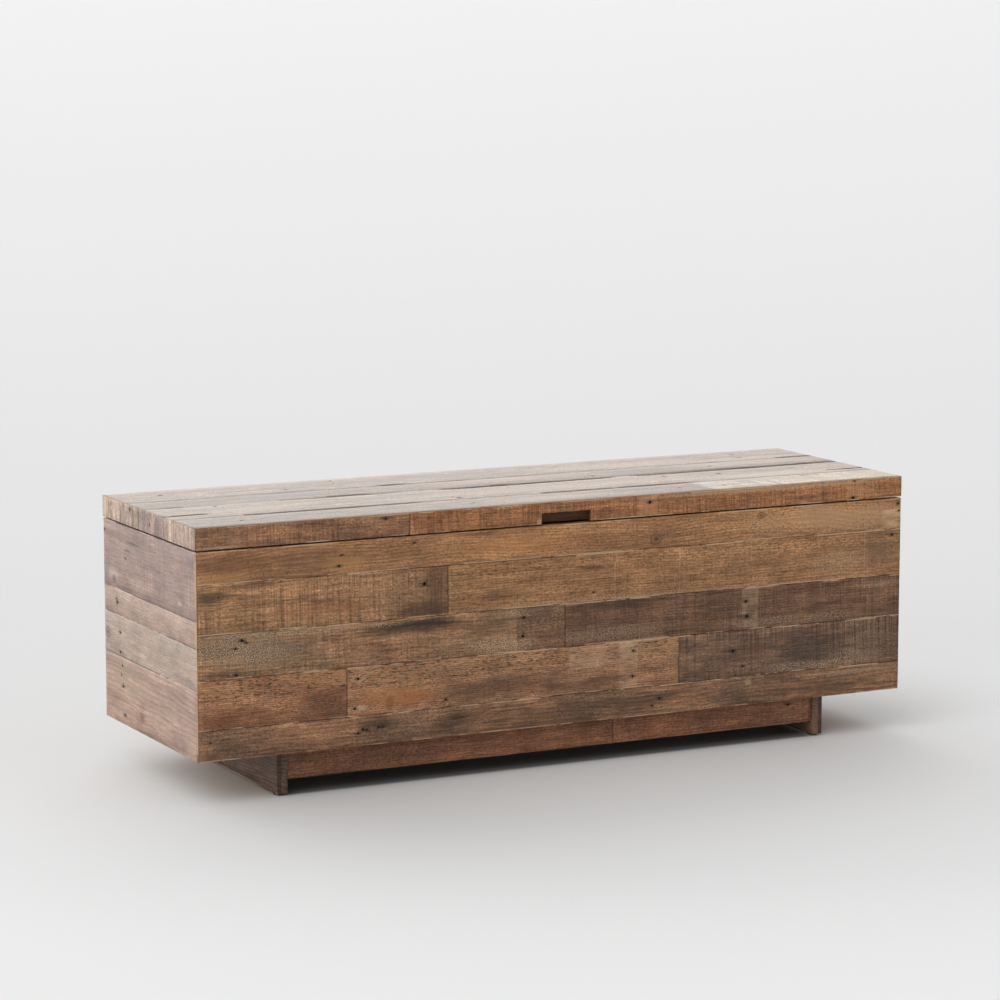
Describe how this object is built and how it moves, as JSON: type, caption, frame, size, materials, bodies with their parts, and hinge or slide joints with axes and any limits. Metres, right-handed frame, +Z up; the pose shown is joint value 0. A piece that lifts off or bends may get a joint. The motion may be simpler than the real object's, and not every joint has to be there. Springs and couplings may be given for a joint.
{
  "type": "storage bench chest",
  "caption": "Long low storage chest of reclaimed boards: mitred box on a recessed base, with a hinged lid that lifts by a finger notch.",
  "frame": {"origin": "on the floor, under the middle of the chest's bounding box, hinge knuckles included", "axes": "+X along the length to the right as seen from the front, +Y to the back, +Z up"},
  "size_m": [1.27, 0.4072, 0.433],
  "materials": {
    "warm_board": "waxed reclaimed pine, warm brown, saw marked",
    "grey_board": "waxed reclaimed pine, grey brown, saw marked",
    "pale_board": "waxed reclaimed pine, pinkish grey brown",
    "top_board": "waxed reclaimed pine, worn top",
    "dark_board": "waxed reclaimed pine, dark brown",
    "raw_pine": "bare planed pine",
    "plywood": "bare plywood",
    "hinge_steel": "zinc plated steel, brushed",
    "zinc_screw": "bright zinc plated steel",
    "rubber_pad": "black rubber"
  },
  "bodies": {
    "box": {"front_board_2": "warm_board", "front_board_3": "warm_board", "front_board_5": "warm_board", "front_board_7": "warm_board", "front_board_8": "warm_board", "front_board_9": "warm_board", "back_board_1": "warm_board", "back_board_2": "warm_board", "back_board_4": "warm_board", "right_board_1": "warm_board", "front_board_1": "grey_board", "front_board_4": "grey_board", "front_board_6": "grey_board", "back_board_3": "grey_board", "right_board_2": "grey_board", "left_board_1": "pale_board", "left_board_2": "pale_board", "left_board_3": "pale_board", "left_board_4": "pale_board", "right_board_3": "pale_board", "base_side_left": "dark_board", "base_side_right": "dark_board", "base_rail_front_left": "dark_board", "base_rail_front_right": "dark_board", "base_rail_back": "dark_board", "front_cleat": "raw_pine", "back_cleat": "raw_pine", "corner_post_front_left": "raw_pine", "corner_post_front_right": "raw_pine", "corner_post_back_left": "raw_pine", "corner_post_back_right": "raw_pine", "bottom_panel": "plywood", "hinge_left_box_leaf": "hinge_steel", "hinge_right_box_leaf": "hinge_steel", "hinge_left_pin": "zinc_screw", "hinge_right_pin": "zinc_screw", "hinge_box_screws": "zinc_screw", "base_screws": "zinc_screw", "glides": "rubber_pad", "rim_bumpers": "rubber_pad"},
    "lid": {"lid_board_1": "top_board", "lid_board_2": "top_board", "lid_board_3": "top_board", "lid_board_4": "top_board", "lid_board_5": "top_board", "lid_front_edge_1": "warm_board", "lid_front_edge_2": "warm_board", "lid_left_edge_1": "pale_board", "lid_left_edge_2": "pale_board", "lid_left_edge_3": "pale_board", "lid_right_edge": "pale_board", "lid_back_edge": "warm_board", "lid_batten_left": "raw_pine", "lid_batten_middle": "raw_pine", "lid_batten_right": "raw_pine", "lid_batten_screws": "zinc_screw", "hinge_left_lid_leaf": "hinge_steel", "hinge_right_lid_leaf": "hinge_steel", "hinge_lid_screws": "zinc_screw"}
  },
  "joints": [
    {"name": "lid_hinge", "type": "hinge", "parent": "box", "child": "lid", "pos_m": [0, 0.2001, 0.39725], "axis": [-1, 0, 0], "range_deg": [0, 95]}
  ]
}
